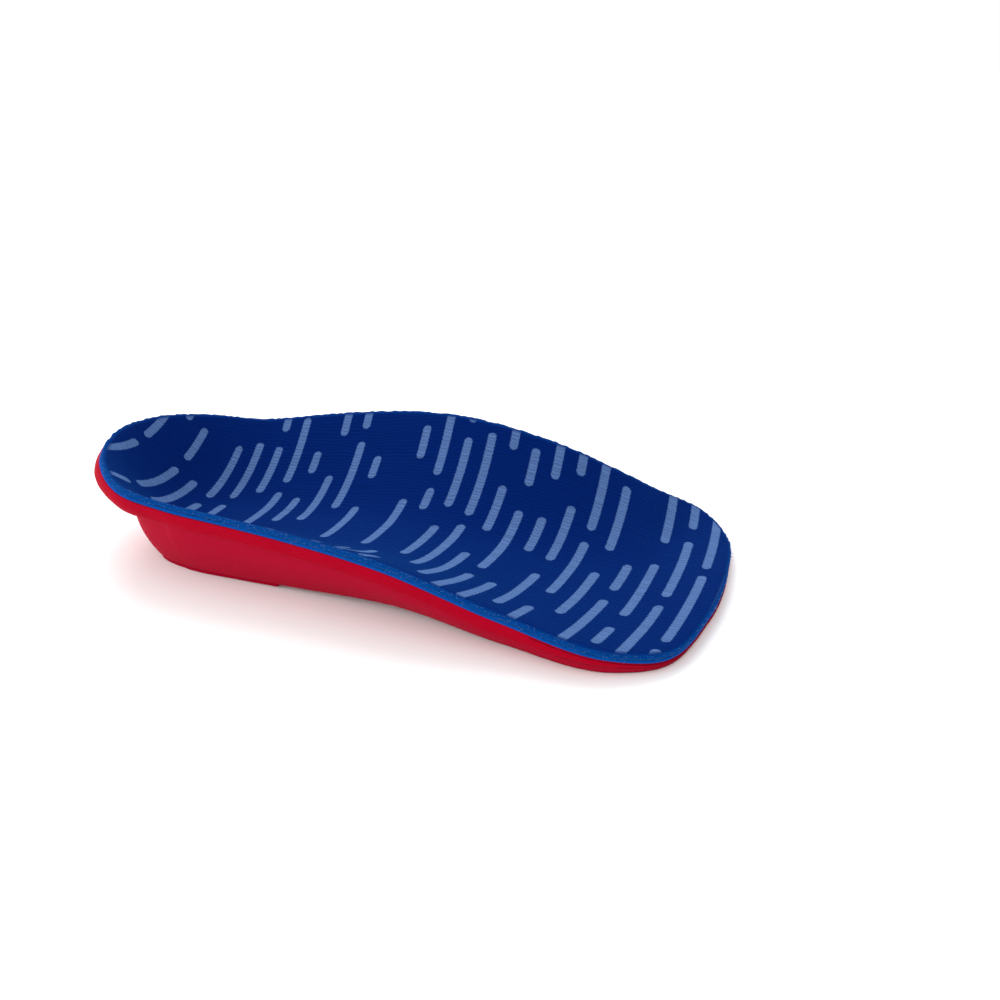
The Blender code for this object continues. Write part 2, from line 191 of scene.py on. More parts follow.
ARCH_STATION = Station(
    between(FLAT_END_X, BALL_X, 0.365),
    between(HEEL_LATERAL, BALL_HALF, 0.6), between(HEEL_MEDIAL, BALL_MEDIAL, 0.08),
    between(HEEL_SIDE_RIM, BALL_LATERAL_RIM, 0.3), ARCH_RIM,
    7.0, ARCH_TUCK, 2.4, ARCH_UNDER, -3.5, ARCH_BED, 3.4,
)
ARCH_END_STATION = Station(
    between(FLAT_END_X, BALL_X, 0.694),
    between(HEEL_LATERAL, BALL_HALF, 0.86), between(HEEL_MEDIAL, BALL_MEDIAL, 0.06),
    between(HEEL_SIDE_RIM, BALL_LATERAL_RIM, 0.71), between(ARCH_RIM, BALL_MEDIAL_RIM, 0.3),
    4.0, between(ARCH_TUCK, 0, 0.21), 0.4, between(ARCH_UNDER, 0, 0.22),
    -3.5, between(ARCH_BED, BALL_BED, 0.52), 1.4,
)
BALL_STATION = Station(
    BALL_X, BALL_HALF, BALL_MEDIAL, BALL_LATERAL_RIM, BALL_MEDIAL_RIM,
    1.4, 3.0, 0.0, 3.4, -1.0, BALL_BED, 0.0,
)
STATIONS = (HEEL_STATION, FLAT_STATION, FLAT_END_STATION, ARCH_STATION, ARCH_END_STATION, BALL_STATION)

ToeEdge = namedtuple("ToeEdge", "back across rim")
TOE_EDGES = (
    ToeEdge(13.0, -0.87, TOE_RIM + 0.6),
    ToeEdge(3.4, -0.32, TOE_RIM),
    ToeEdge(0.1, 0.30, TOE_RIM),
    ToeEdge(1.1, 0.72, TOE_RIM),
    ToeEdge(8.1, 0.99, TOE_RIM + 1.8),
)
TOE_TUCK = 0.8
HEEL_BACK_TUCK = 12.6
HEEL_ANGLES = (60, 30, 0, -30, -60)

# ------------------------------------------------------------------ fineness of the meshes

SAMPLES_PER_SPAN = 64
SIDE_RAYS = 118
TOE_RAYS = 104
HEEL_RAYS = 96
COVER_RINGS = 56
HIDDEN_RINGS = 12
WRAP_STEPS = 6
BAND_STEPS = 7
SIDE_STEPS = 10
CORNER_STEPS = 4
RING_CROWDING = 1.25        # above 1, the rings stand closer together towards the rim
PAD_POINTS = 260
PAD_MEDIAL_POINTS = 20
PAD_LATERAL_POINTS = 30
PAD_FRONT_POINTS = 40
SEED = 4

Ray = namedtuple("Ray", "spine x y rim tuck under back")
Spine = namedtuple("Spine", "x y bed under")


# ------------------------------------------------------------------ lines of the insole

def smooth_through(rows, closed):
    """Points on a smooth curve through the rows; the first two columns set its pace."""
    rows = np.array(rows, dtype=float)
    count = len(rows)
    last = count if closed else count - 1
    steps = [np.linalg.norm(rows[(i + 1) % count, :2] - rows[i, :2]) for i in range(last)]

    def slope(i):
        if not closed and i == 0:
            return (rows[1] - rows[0]) / steps[0]
        if not closed and i == count - 1:
            return (rows[-1] - rows[-2]) / steps[-1]
        before = steps[i - 1]
        after = steps[i % count]
        rise_before = (rows[i % count] - rows[i - 1]) / before
        rise_after = (rows[(i + 1) % count] - rows[i % count]) / after
        return (rise_before * after + rise_after * before) / (before + after)

    curve = []
    for i in range(last):
        start, end = rows[i], rows[(i + 1) % count]
        leave, arrive = slope(i) * steps[i], slope((i + 1) % count) * steps[i]
        for t in np.linspace(0.0, 1.0, SAMPLES_PER_SPAN, endpoint=False):
            curve.append(
                start * (1 + 2 * t) * (1 - t) ** 2 + end * t * t * (3 - 2 * t)
                + leave * t * (1 - t) ** 2 - arrive * t * t * (1 - t)
            )
    if not closed:
        curve.append(rows[-1])
    return np.array(curve)


def rim_ring():
    """The cover's rim, split into its four stretches: lateral side, front, medial side and heel."""
    rows = [(s.x, -s.lateral, s.lateral_rim, s.lateral_tuck, s.lateral_under, 0) for s in STATIONS]
    rows += [(LENGTH - t.back, t.across * BALL_HALF, t.rim, TOE_TUCK, 0.0, 0) for t in TOE_EDGES]
    rows += [(s.x, s.medial, s.medial_rim, s.medial_tuck, s.medial_under, 0) for s in STATIONS[::-1]]
    for degrees in HEEL_ANGLES:
        angle = math.radians(degrees)
        back = math.cos(angle)
        rim = between(HEEL_SIDE_RIM, HEEL_BACK_RIM, back ** 2)
        across = HEEL_AXIS + HEEL_HALF * math.sin(angle)
        tuck = between(HEEL_STATION.medial_tuck, HEEL_BACK_TUCK, back ** 2)
        rows.append((HEEL_CUP_X * (1 - back), across, rim, tuck, PAD_TOP, back ** 2))
    ring = smooth_through(rows, closed=True)
    side = (len(STATIONS) - 1) * SAMPLES_PER_SPAN
    toe = (len(TOE_EDGES) + 1) * SAMPLES_PER_SPAN
    lateral = ring[:side + 1]
    front = ring[side:side + toe + 1]
    medial = ring[side + toe:2 * side + toe + 1]
    heel = np.vstack([ring[2 * side + toe:], ring[:1]])
    return lateral, front, medial[::-1], heel


def at_x(side, x):
    """The row of a side stretch at distance x from the heel."""
    return np.array([np.interp(x, side[:, 0], side[:, column]) for column in range(side.shape[1])])


def even_rows(stretch, count):
    """Rows spaced evenly along a stretch, both ends included."""
    steps = np.linalg.norm(np.diff(stretch[:, :2], axis=0), axis=1)
    run = np.concatenate([[0.0], np.cumsum(steps)])
    places = np.linspace(0.0, run[-1], count)
    return np.array([np.interp(places, run, column) for column in stretch.T]).T


def lowest_under(x):
    """The underside is flat over the pad, and meets the ground further on."""
    return PAD_TOP if x <= FLAT_END_X else 0.0


def valley(xs):
    """Spine points of the footbed at the distances xs from the heel."""
    line = smooth_through([(s.x, s.valley, s.bed, s.under) for s in STATIONS], closed=False)
    points = [Spine(*at_x(line, x)) for x in xs]
    return [point._replace(under=max(point.under, lowest_under(point.x))) for point in points]


def make_rays():
    """The spine's points, and the rays from it to the rim: lateral side, toe, medial side, heel."""
    lateral, front, medial, heel = rim_ring()
    xs = np.linspace(HEEL_CUP_X, BALL_X, SIDE_RAYS)
    last = SIDE_RAYS - 1
    rays = [Ray(i, *at_x(lateral, x)) for i, x in enumerate(xs)]
    rays += [Ray(last, *row) for row in even_rows(front, TOE_RAYS + 1)[1:-1]]
    rays += [Ray(last - i, *at_x(medial, x)) for i, x in enumerate(xs[::-1])]
    rays += [Ray(0, *row) for row in even_rows(heel, HEEL_RAYS + 1)[1:-1]]
    return valley(xs), [ray._replace(under=max(ray.under, lowest_under(ray.x))) for ray in rays]


SPINE, RAYS = make_rays()
SPOKES = [ray.spine for ray in RAYS]
SPINE_TOP = np.array([(s.x, s.y, s.bed) for s in SPINE])
SPINE_UNDER = np.array([(s.x, s.y, s.under) for s in SPINE])
RIM = np.array([(ray.x, ray.y, ray.rim) for ray in RAYS])
RUN = RIM[:, :2] - SPINE_TOP[SPOKES][:, :2]
REACH_LENGTH = np.linalg.norm(RUN, axis=1)
INWARD = np.column_stack([-RUN / REACH_LENGTH[:, None], np.zeros(len(RAYS))])
BACK = np.clip([ray.back for ray in RAYS], 0.0, 1.0)[:, None]
UNDER_EDGE = np.array([(ray.x, ray.y, ray.under) for ray in RAYS])
UNDER_EDGE = UNDER_EDGE + INWARD * np.array([ray.tuck for ray in RAYS])[:, None]

# The bowl has a flatter middle and a steeper wall on the lateral side, most of all round the heel.
FORWARD = np.clip((RIM[:, 0] - HEEL_CUP_X) / (BALL_X - HEEL_CUP_X), 0.0, 1.0)
BOWL = between(MEDIAL_BOWL, between(HEEL_BOWL, BALL_BOWL, FORWARD), (1 + INWARD[:, 1]) / 2)
EASE = 1 - RIM_STEEPNESS / BOWL


def dish(reach):
    """Share of the rim's rise at a share of the way out: a bowl that eases at the rim."""
    return (1 + EASE) * reach ** BOWL - EASE * reach ** (2 * BOWL)


def dish_slope(reach):
    return BOWL * ((1 + EASE) * reach ** (BOWL - 1) - 2 * EASE * reach ** (2 * BOWL - 1))


def unit(rows):
    return rows / np.linalg.norm(rows, axis=-1, keepdims=True)


SPINE_SLOPE = np.gradient(SPINE_TOP[:, 2], SPINE_TOP[:, 0])
SPINE_NORMAL = unit(np.column_stack([-SPINE_SLOPE, np.zeros(len(SPINE)), np.ones(len(SPINE))]))


class FootbedRing:
    """One ring of the footbed's face: places, the normals that the layers follow, and rim distance."""

    def __init__(self, reach):
        start = SPINE_TOP[SPOKES]
        rise = RIM[:, 2] - start[:, 2]
        plan = start[:, :2] + RUN * reach
        smooth = np.column_stack([plan, start[:, 2] + rise * dish(reach)])
        outward = np.column_stack([RUN, rise * dish_slope(reach)])
        around = np.roll(smooth, -1, axis=0) - np.roll(smooth, 1, axis=0)
        self.normal = unit(np.cross(outward, around))
        self.rim_distance = (1 - reach) * REACH_LENGTH
        turned = np.clip(ROLL_WIDTH - self.rim_distance, 0.0, None)
        roll = ROLL_SLOPE * turned ** 2 / (2 * ROLL_WIDTH)
        self.place = smooth
        self.place[:, 2] += ROLL_SLOPE * ROLL_WIDTH / 2 * dish(reach) - roll

    def sunk(self, depth):
        return self.place - self.normal * depth

    def on_shell(self, lift=0.0):
        """The shell's face below the ring, which rises a little towards the rim, and a lift above it."""
        near = np.clip(1 - self.rim_distance / PINCH_WIDTH, 0.0, 1.0)
        return self.sunk((SHELL_DEPTH - PINCH * near ** 2 - lift)[:, None])


def ring_reaches(count):
    """Shares of the way out, closer together towards the rim, where the face rolls over."""
    even = np.arange(1, count + 1) / count
    return 1 - (1 - even) ** RING_CROWDING


def cloth_rows(rings):
    """Flat-cloth coordinates of the rings: each ray's own length along the face, laid out flat."""
    previous = SPINE_TOP[SPOKES]
    length = np.zeros(len(RAYS))
    rows = []
    for ring in rings:
        length = length + np.linalg.norm(ring.place - previous, axis=1)
        previous = ring.place
        flat = SPINE_TOP[SPOKES][:, :2] - INWARD[:, :2] * length[:, None]
        rows.append(np.column_stack([flat, ring.rim_distance]))
    return rows


# ------------------------------------------------------------------ mesh helpers

def between_rings(first, second, count):
    """Quads between two rings of count points; first and second are their first indices."""
    quads = []
    for i in range(count):
        j = (i + 1) % count
        quads.append((first + i, second + i, second + j, first + j))
    return quads


def spoke_faces(ring, spine, spokes, facing_up):
    """Faces between the innermost ring and the spine."""
    count = len(spokes)
    faces = []
    for i in range(count):
        j = (i + 1) % count
        corners = [spine + spokes[i], ring + i, ring + j]
        if spokes[j] != spokes[i]:
            corners.append(spine + spokes[j])
        faces.append(corners if facing_up else corners[::-1])
    return faces


def closed_mesh(name, spine_top, rings, spine_bottom, spokes=SPOKES, attribute=None):
    """A closed mesh from rings that run from the middle of the face out, round the edge and back."""
    count = len(spokes)
    bottom_spine = len(spine_top) + len(rings) * count
    faces = spoke_faces(len(spine_top), 0, spokes, facing_up=True)
    for k in range(len(rings) - 1):
        first = len(spine_top) + k * count
        faces += between_rings(first, first + count, count)
    faces += spoke_faces(bottom_spine - count, bottom_spine, spokes, facing_up=False)
    points = np.vstack([spine_top, *rings, spine_bottom])
    mesh = bpy.data.meshes.new(name)
    mesh.from_pydata((points * MM + ORIGIN).tolist(), [], faces)
    if attribute is not None:
        label, values = attribute
        layer = mesh.attributes.new(label, "FLOAT_VECTOR", "POINT")
        layer.data.foreach_set("vector", np.asarray(values, dtype=np.float32).ravel())
    mesh.shade_smooth()
    return mesh


def round_corner(before, corner, after, radius):
    """Rings round a corner of a profile."""
    leave = corner + unit(before - corner) * radius
    arrive = corner + unit(after - corner) * radius
    rings = []
    for t in np.linspace(0.0, 1.0, CORNER_STEPS):
        rings.append(leave * (1 - t) ** 2 + corner * 2 * t * (1 - t) + arrive * t ** 2)
    return rings


def side_profile(top):
    """Rings down the shell's side: edge band, crease, shoulder of the ledge, lower side."""
    band = between(EDGE_BAND, HEEL_BAND, BACK)
    ledge_width = between(EDGE_LEDGE, HEEL_LEDGE, BACK ** LEDGE_SPREAD)
    ledge_slope = between(LEDGE_SLOPE, HEEL_LEDGE_SLOPE, BACK ** LEDGE_SPREAD)
    fade = np.minimum(1.0, BAND_SHARE * (top[:, 2:] - UNDER_EDGE[:, 2:]) / band)
    up = np.array([0.0, 0.0, 1.0])
    foot = top + INWARD * EDGE_LEAN * fade - up * band * fade
    ledge = foot + INWARD * ledge_width * fade - up * ledge_slope * ledge_width * fade
    swell = HEEL_BULGE * BACK + BAND_CROWN
    bands = []
    for t in np.linspace(0.0, 1.0, BAND_STEPS + 1)[1:-1]:
        bands.append(top * (1 - t) + foot * t - INWARD * swell * math.sin(math.pi * t))
    sides = []
    for t in np.linspace(0.0, 1.0, SIDE_STEPS + 1)[1:-1]:
        place = ledge + (UNDER_EDGE - ledge) * t ** between(SIDE_HOLLOW, HEEL_HOLLOW, BACK)
        place[:, 2] = between(ledge[:, 2], UNDER_EDGE[:, 2], t)
        sides.append(place)
    crease = round_corner(bands[-1], foot, ledge, CREASE_RADIUS)
    shoulder = round_corner(foot, ledge, sides[0], SHOULDER_RADIUS)
    return bands, crease, shoulder, sides


def shell_middle():
    """Middle of the shell's plan, from its widest rings."""
    top = FootbedRing(1.0).sunk(SHELL_DEPTH)
    bands, _, _, _ = side_profile(top)
    around = np.vstack([top, *bands])
    return (around.min(axis=0) + around.max(axis=0)) / 2


def design_origin():
    """Where the design's zero lies in the frame, in metres."""
    low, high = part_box("base_shell")
    middle = shell_middle() * MM
    return np.array([(low[0] + high[0]) / 2 - middle[0], (low[1] + high[1]) / 2 - middle[1], 0.0])


ORIGIN = design_origin()


def add_piece(context, name, data, finish, slot, *nodes):
    """Links a piece, gives it its finish, and ties it to the frame."""
    piece = bpy.data.objects.new(name, data)
    data.materials.append(finish)
    context.scene.collection.objects.link(piece)
    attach(piece, ROOT)
    if nodes:
        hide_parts(*nodes)
    return piece


# ------------------------------------------------------------------ shader maths

class Value:
    """A node's output; Python's operators on one that carries a number add Math nodes."""

    def __init__(self, finish, socket):
        self.finish = finish
        self.socket = socket

    def output(self, name):
        return Value(self.finish, self.socket.node.outputs[name])

    def __add__(self, other):
        return self.finish.math("ADD", self, other)

    __radd__ = __add__

    def __sub__(self, other):
        return self.finish.math("SUBTRACT", self, other)

    def __rsub__(self, other):
        return self.finish.math("SUBTRACT", other, self)

    def __mul__(self, other):
        return self.finish.math("MULTIPLY", self, other)

    __rmul__ = __mul__

    def __truediv__(self, other):
        return self.finish.math("DIVIDE", self, other)

    def __rtruediv__(self, other):
        return self.finish.math("DIVIDE", other, self)

    def __pow__(self, other):
        return self.finish.math("POWER", self, other)

    def __rpow__(self, other):
        return self.finish.math("POWER", other, self)

    def __abs__(self):
        return self.finish.math("ABSOLUTE", self)


class Finish:
    """A material in the making, on a Principled BSDF."""

    MIX_A, MIX_B, MIX_RESULT = 6, 7, 2      # the colour sockets of a Mix node

    def __init__(self, name, **constants):
        self.material = bpy.data.materials.new(name)
        self.material.use_nodes = True
        self.tree = self.material.node_tree
        self.shader = self.tree.nodes["Principled BSDF"]
        for socket, value in constants.items():
            self.shader.inputs[socket.replace("_", " ")].default_value = value

    def plug(self, socket, value):
        if isinstance(value, Value):
            self.tree.links.new(value.socket, socket)
        else:
            socket.default_value = value

    def node(self, kind, settings=None, sockets=None, output=0):
        """Adds a node: its settings first, then the values or links of its sockets."""
        node = self.tree.nodes.new(kind)
        for name, value in (settings or {}).items():
            setattr(node, name, value)
        for key, value in (sockets or {}).items():
            self.plug(node.inputs[key], value)
        return Value(self, node.outputs[output])

    def math(self, operation, *values):
        return self.node("ShaderNodeMath", {"operation": operation}, dict(enumerate(values)))

    def mix(self, share, first, second):
        """Colour between first and second."""
        sockets = {0: share, self.MIX_A: first, self.MIX_B: second}
        return self.node("ShaderNodeMix", {"data_type": "RGBA"}, sockets, self.MIX_RESULT)

    def fade(self, value, start, end):
        """0 up to start, 1 from end on, with a smooth step between."""
        sockets = {"Value": value, "From Min": start, "From Max": end}
        return self.node("ShaderNodeMapRange", {"interpolation_type": "SMOOTHSTEP"}, sockets)

    def vector(self, x, y, z):
        return self.node("ShaderNodeCombineXYZ", sockets={"X": x, "Y": y, "Z": z})

    def noise(self, place, scale, detail=2.0, roughness=0.5):
        sockets = {"Vector": place, "Scale": scale, "Detail": detail, "Roughness": roughness}
        return self.node("ShaderNodeTexNoise", sockets=sockets, output="Fac")

    def cells(self, place, scale):
        """Distance from the middle of the nearest cell."""
        sockets = {"Vector": place, "Scale": scale}
        return self.node("ShaderNodeTexVoronoi", sockets=sockets, output="Distance")

    def random(self, x, y, z):
        return self.node("ShaderNodeTexWhiteNoise", sockets={"Vector": self.vector(x, y, z)})

    def attribute(self, name):
        return self.node("ShaderNodeAttribute", {"attribute_name": name}, output="Vector")

    def scale(self, vector, factor):
        """A vector or a colour, times a number."""
        sockets = {0: vector, "Scale": factor}
        return self.node("ShaderNodeVectorMath", {"operation": "SCALE"}, sockets)

    def millimetres(self):
        """Object coordinates in millimetres."""
        return self.scale(self.node("ShaderNodeTexCoord", output="Object"), 1 / MM)

    def surface(self, colour, height, depth, roughness=None):
        """Plugs the colour, the bump's height over a depth in millimetres, and the roughness."""
        self.plug(self.shader.inputs["Base Color"], colour)
        bump = self.node("ShaderNodeBump", sockets={"Height": height, "Distance": depth * MM})
        self.plug(self.shader.inputs["Normal"], bump)
        if roughness is not None:
            self.plug(self.shader.inputs["Roughness"], roughness)
        return self.material


# ------------------------------------------------------------------ sizes and colours to change

class InsolePrint(bpy.types.PropertyGroup):
    """The dashes printed on the knit."""

    pitch: FloatProperty(
        name="Pitch", description="Distance between two rows of dashes",
        default=6.4 * MM, min=2 * MM, unit="LENGTH", precision=4,
    )
    width: FloatProperty(
        name="Width", description="Width of a dash",
        default=2.35 * MM, min=0.5 * MM, unit="LENGTH", precision=4,
    )
    cell: FloatProperty(
        name="Cell", description="Length of cloth that each dash has to itself at the heel",
        default=22.0 * MM, min=5 * MM, unit="LENGTH", precision=4,
    )
    lane: FloatProperty(
        name="Lane", description="Least gap between two dashes of a row",
        default=3.6 * MM, min=0, unit="LENGTH", precision=4,
    )
    lean: FloatProperty(
        name="Lean", description="How far the rows lean to the toes for each step to the medial side",
        default=0.15,
    )


class InsoleKnit(bpy.types.PropertyGroup):
    """The knit cover."""

    rib: FloatProperty(
        name="Rib", description="Distance between two ribs of the knit",
        default=1.05 * MM, unit="LENGTH", precision=5,
    )
    fibres: IntProperty(
        name="Loose fibres", description="Fibres that stand out of the cut edge", default=2600, min=1,
    )
    ground: FloatVectorProperty(
        name="Ground", description="Colour of the knit", subtype="COLOR", default=(0.0, 0.011, 0.112),
    )
    dash: FloatVectorProperty(
        name="Dash", description="Colour of the print", subtype="COLOR", default=(0.09, 0.17, 0.38),
    )
    # Lighter blue of the rolled rim: partly rubbed wear, partly painted sheen where the rolled edge
    # catches the light.
    wear_and_sheen: FloatVectorProperty(
        name="Rubbed", description="Colour of the knit where the edge is stretched and rubbed",
        subtype="COLOR", default=(0.0, 0.058, 0.27),
    )
    fibre: FloatVectorProperty(
        name="Fibre", description="Colour of the cut fibres", subtype="COLOR", default=(0.07, 0.17, 0.42),
    )


class InsoleFoams(bpy.types.PropertyGroup):
    """The foam layer, the moulded shell and the heel pad."""

    foam: FloatVectorProperty(
        name="Cushion foam", description="Colour of the foam under the knit", subtype="COLOR",
        default=(0.0, 0.065, 0.33),
    )
    shell: FloatVectorProperty(
        name="Shell", description="Colour of the moulded shell", subtype="COLOR",
        default=(0.375, 0.0003, 0.014),
    )
    # Painted reflection: the paler, pinker red of the lower side stands in for light bounced up from the
    # white floor.
    lower_side_reflection: FloatVectorProperty(
        name="Lower side", description="Colour of the shell below its edge band", subtype="COLOR",
        default=(0.365, 0.0045, 0.024),
    )
    pad: FloatVectorProperty(
        name="Heel pad", description="Colour of the pad under the heel", subtype="COLOR",
        default=(0.34, 0.001, 0.018),
    )
    edge_round: FloatProperty(
        name="Edge round", description="Radius of the shell's moulded edges",
        default=0.5 * MM, min=0.1 * MM, unit="LENGTH", precision=5,
    )


# ------------------------------------------------------------------ finishes

ROW_BOW = 0.00225           # how the rows of dashes bow to the toes in their middle
CELL_GROWTH = 0.55          # how much longer the cells get from one row to the next, in millimetres
ROW_SWAY = 0.42             # how far the rows are shifted against each other, in cells
ROW_SWAY_PACE = 1.15
ROW_JITTER = 0.3
DASH_SHORTENING = 0.95      # share of a dash that the shortest one lacks
BLANK_SHARE = 0.42          # share of empty cells in the row at the design's zero
BLANK_FALL = 0.022          # how much smaller that share gets from row to row
DASH_BLUR = 0.16            # softness of a dash's outline, in millimetres
DASH_RAGGED = 0.4           # how far that outline wanders, in millimetres
DASH_RAGGED_SCALE = 2.0
DASH_STITCH = 0.07          # how far the knit's ribs notch it

WAVER = 9.0                 # how far the ribs of the knit wander, in millimetres
WAVER_SCALE = 0.12
LOOP_PACE = 1.3             # loops along a rib for each rib across
FLUFF_SCALE = 3.2
PULL_SCALES = (0.05, 1.1)   # along and across the foot: pulled threads run along it
KNIT_DEPTH = 0.12
PRINT_END = (0.2, 1.5)      # distances from the rim where the print starts and is full
EDGE_WEAR_AND_SHEEN = (1.1, -0.7)     # and where the rim's lighter colour, partly rubbed wear and partly painted sheen, starts and is full

FIBRE_TONE_SCALE = 1.5
FIBRE_DEPTH = 0.01

PIT_SCALE = 3.4             # cells of the foam to a millimetre
FOAM_GRAIN_SCALE = 6.0
FOAM_DEPTH = 0.16
PAINTED_PIT_SHADE = 0.7             # painted shade in the foam's pits: how dark they are, as a share of its colour

CLOUD_SCALE = 0.09
EVA_GRAIN_SCALE = 4.5
DIMPLE_SCALE = 1.6
CLOUD_SHADE = 0.9
SHELL_GRAIN = 0.05          # depth of the moulded grain
PAD_GRAIN = 0.07


def dash_rows(finish, cloth, stitch, style):
    """Mask of the printed dashes: bowed rows across the foot, cut into round-ended strokes."""
    across = cloth.output("Y")
    pitch = style.pitch / MM
    bowed = cloth.output("X") - style.lean * across + ROW_BOW * across * across
    line = bowed / pitch
    row = finish.math("FLOOR", line)
    aside = (line - row - 0.5) * pitch
    cell_length = style.cell / MM + row * CELL_GROWTH
    stagger = ROW_SWAY * finish.math("SINE", row * ROW_SWAY_PACE)
    stagger = stagger + ROW_JITTER * finish.random(row, 3.0, SEED)
    place = across / cell_length + stagger
    cell = finish.math("FLOOR", place)
    inside = (place - cell - 0.5) * cell_length
    length_draw = finish.random(row, cell, SEED + 1.0)
    slide_draw = finish.random(row, cell, SEED + 2.0)
    longest = cell_length / 2 - (style.lane + style.width) / 2 / MM
    half = longest * (1 - DASH_SHORTENING * length_draw ** 3)
    blank_draw = finish.random(row, cell, SEED + 3.0)
    kept = finish.math("GREATER_THAN", blank_draw, BLANK_SHARE - BLANK_FALL * row)
    slide = (longest - half) * (slide_draw * 2 - 1)
    beyond = finish.math("MAXIMUM", abs(inside - slide) - half, 0.0)
    distance = finish.math("SQRT", beyond * beyond + aside * aside) - style.width / MM / 2
    fray = finish.noise(finish.attribute("cloth"), DASH_RAGGED_SCALE) - 0.5
    ragged = distance + stitch * DASH_STITCH + DASH_RAGGED * fray
    return kept * finish.fade(ragged, DASH_BLUR, -DASH_BLUR)


def knit_finish(style, knit):
    """Printed knit: ribs that wander a little, fluff, pulled threads, and a cut edge whose rolled rim is
    painted lighter, partly rubbed wear and partly painted sheen.
    """
    finish = Finish("printed_knit", Roughness=0.85, Sheen_Weight=0.1, Sheen_Roughness=0.4)
    finish.shader.inputs["Sheen Tint"].default_value = (0.0, 0.4, 1.0, 1.0)
    finish.shader.inputs["Specular IOR Level"].default_value = 0.02
    place = finish.attribute("cloth")
    cloth = finish.node("ShaderNodeSeparateXYZ", sockets={"Vector": place})
    along, across, rim_distance = (cloth.output(axis) for axis in "XYZ")
    wear_and_sheen = (*knit.wear_and_sheen, 1.0)

    rib_turn = 2 * math.pi / (knit.rib / MM)
    waver = finish.noise(place, WAVER_SCALE, detail=3.0) * WAVER
    rib = finish.math("SINE", (across + waver * 0.35) * rib_turn)
    loop = finish.math("SINE", (along + waver * 0.2) * rib_turn * LOOP_PACE)
    fluff = finish.noise(place, FLUFF_SCALE, detail=4.0, roughness=0.7)
    pull = finish.noise(finish.vector(along * PULL_SCALES[0], across * PULL_SCALES[1], 0.0), 1.0)
    height = rib * 0.3 + loop * 0.12 + fluff * 0.9 + pull * 1.2

    # Lighter colour near the rim: partly rubbed wear, partly painted sheen on the rolled edge.
    edge = finish.fade(rim_distance, *EDGE_WEAR_AND_SHEEN) * 0.85
    ground = finish.mix(finish.fade(fluff, 0.4, 0.8) * 0.08, (*knit.ground, 1.0), wear_and_sheen)
    ground = finish.mix(edge, ground, wear_and_sheen)
    dash = finish.mix(edge * 0.4, (*knit.dash, 1.0), wear_and_sheen)
    mask = dash_rows(finish, cloth, rib, style) * finish.fade(rim_distance, *PRINT_END)
    strength = 0.8 + 0.06 * rib + 0.35 * (fluff - 0.5) + 0.3 * (pull - 0.5)
    printed = finish.mix(mask * strength, ground, dash)
    cut = finish.fade(rim_distance, 0.2 - COVER_WRAP, -COVER_WRAP)
    colour = finish.mix(cut * 0.4 * finish.fade(fluff, 0.3, 0.6), printed, (*knit.fibre, 1.0))
    mottle = 0.86 + 0.5 * (fluff - 0.3) + 0.06 * rib + 0.25 * (pull - 0.5)
    scaled = finish.scale(colour, mottle)
    return finish.surface(scaled, height, KNIT_DEPTH)


def fibre_finish(knit):
    """Loose yarn, from the rim's lighter colour (rubbed wear with painted sheen) to the colour of a cut
    end.
    """
    finish = Finish("cut_fibres", Roughness=0.7, Sheen_Weight=0.3)
    tone = finish.noise(finish.millimetres(), FIBRE_TONE_SCALE, detail=1.0)
    colour = finish.mix(finish.fade(tone, 0.3, 0.7), (*knit.wear_and_sheen, 1.0), (*knit.fibre, 1.0))
    return finish.surface(colour, tone, FIBRE_DEPTH)


def foam_finish(foams):
    """Open-cell foam as a knife leaves it: small pits painted darker as shade, with brighter walls."""
    finish = Finish("blue_foam", Roughness=0.75)
    finish.shader.inputs["Specular IOR Level"].default_value = 0.04
    place = finish.millimetres()
    pits = finish.cells(place, PIT_SCALE)
    grain = finish.noise(place, FOAM_GRAIN_SCALE, detail=3.0)
    height = pits * 0.8 + grain * 0.4
    # Painted shade: the colour darkens into the pits of the cells.
    shade = finish.fade(height, 0.1, 0.75)
    deep = [channel * PAINTED_PIT_SHADE for channel in foams.foam]
    colour = finish.mix(shade, (*deep, 1.0), (*foams.foam, 1.0))
    return finish.surface(colour, height, FOAM_DEPTH)


def moulded_finish(name, tint, floor_reflection, grain_depth):
    """Moulded EVA: a satin skin of fine grain, cloudy colour, and below the edge band a duller, pinker
    colour painted as reflection of the white floor.
    """
    finish = Finish(name)
    finish.shader.inputs["Specular IOR Level"].default_value = 0.02
    place = finish.millimetres()
    cloud = finish.noise(place, CLOUD_SCALE, detail=3.0)
    grain = finish.noise(place, EVA_GRAIN_SCALE, detail=3.0, roughness=0.6)
    dimple = finish.cells(place, DIMPLE_SCALE)
    shade = finish.fade(cloud, 0.25, 0.75) * 0.6 + grain * 0.4
    deep = [channel * CLOUD_SHADE for channel in tint]
    colour = finish.mix(shade, (*deep, 1.0), (*tint, 1.0))
    # Painted reflection: below the edge band the colour turns to the paler red that stands in for floor
    # light.
    painted_reflection_mask = finish.node("ShaderNodeSeparateXYZ", sockets={"Vector": finish.attribute("side")})
    colour = finish.mix(painted_reflection_mask * (0.75 + 0.25 * cloud), colour, (*floor_reflection, 1.0))
    height = grain * 0.6 + dimple * 0.5
    return finish.surface(colour, height, grain_depth, 0.48 + 0.2 * grain)


# ------------------------------------------------------------------ pieces

